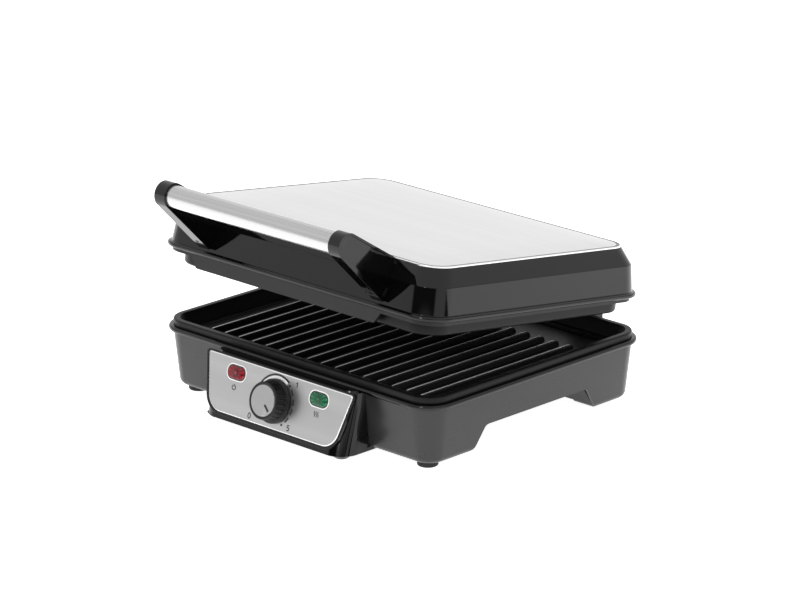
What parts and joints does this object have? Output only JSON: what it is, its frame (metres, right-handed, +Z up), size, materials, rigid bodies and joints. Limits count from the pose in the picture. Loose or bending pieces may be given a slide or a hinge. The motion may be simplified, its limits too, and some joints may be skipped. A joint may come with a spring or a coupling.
{
  "type": "electric grill",
  "caption": "Contact grill with ribbed plates, a lid on floating hinge posts, a tube handle on two brackets and a front dial panel.",
  "frame": {"origin": "centre of the bounding box on the table surface", "axes": "front with the dial and the handle faces -Y, +X to the right seen from the front, +Z up"},
  "size_m": [0.33, 0.3476, 0.2086],
  "materials": {
    "graphite_plastic": "semi-gloss moulded",
    "black_gloss_plastic": "high gloss moulded",
    "black_plastic": "matte moulded",
    "clear_lens": "clear moulded jewel",
    "indicator_lamp": "clear glass capsule",
    "non_stick": "satin non-stick coating on cast aluminium",
    "brushed_sheet": "brushed",
    "silver_cap": "spun and lacquered",
    "steel": "turned",
    "reflector_sheet": "aluminised, bright",
    "heater_sheath": "heat-tinted sheath",
    "rubber": "matte",
    "ceramic": "glazed",
    "screw_steel": "zinc plated"
  },
  "bodies": {
    "base": {"base_housing": "graphite_plastic", "base_trim": "black_plastic", "bottom_cover": "black_plastic", "rubber_feet": "rubber", "cover_screws": "screw_steel", "control_box": "black_gloss_plastic", "panel_frame": "black_plastic", "control_panel": "brushed_sheet", "power_lens": "clear_lens", "ready_lens": "clear_lens", "indicator_lamps": "indicator_lamp", "thermostat": "steel", "lower_grill_plate": "non_stick", "lower_heating_element": "heater_sheath", "lower_reflector": "reflector_sheet", "thermal_fuse": "ceramic", "terminal_block": "ceramic", "cord_gland": "rubber", "hinge_guide_left": "black_plastic", "hinge_guide_right": "black_plastic", "guide_bolts": "screw_steel"},
    "hinge_float": {"hinge_post_left": "steel", "hinge_post_right": "steel", "hinge_pins": "screw_steel"},
    "knob": {"thermostat_shaft": "steel", "thermostat_knob": "black_gloss_plastic", "knob_cap": "silver_cap"},
    "lid": {"lid_cover": "black_gloss_plastic", "lid_top_plate": "brushed_sheet", "lid_frame": "black_plastic", "lid_screws": "screw_steel", "arm_screws": "screw_steel", "upper_grill_plate": "non_stick", "upper_plate_screws": "screw_steel", "upper_heating_element": "heater_sheath", "upper_reflector": "reflector_sheet", "lid_arm_left": "black_plastic", "lid_arm_right": "black_plastic", "handle_bracket_left": "black_gloss_plastic", "handle_bracket_right": "black_gloss_plastic", "handle_tube": "brushed_sheet", "handle_screws": "screw_steel"}
  },
  "joints": [
    {"name": "lid_float", "type": "slide", "parent": "base", "child": "hinge_float", "axis": [0, 0, 1], "range_m": [-0.0126, 0.0074]},
    {"name": "lid_tilt", "type": "hinge", "parent": "hinge_float", "child": "lid", "pos_m": [0, 0.16255, 0.1126], "axis": [-1, 0, 0], "range_deg": [-8, 97]},
    {"name": "knob_turn", "type": "hinge", "parent": "base", "child": "knob", "pos_m": [0, -0.141, 0.0326], "axis": [0, -0.9613, 0.2756], "range_deg": [-15, 257]}
  ]
}
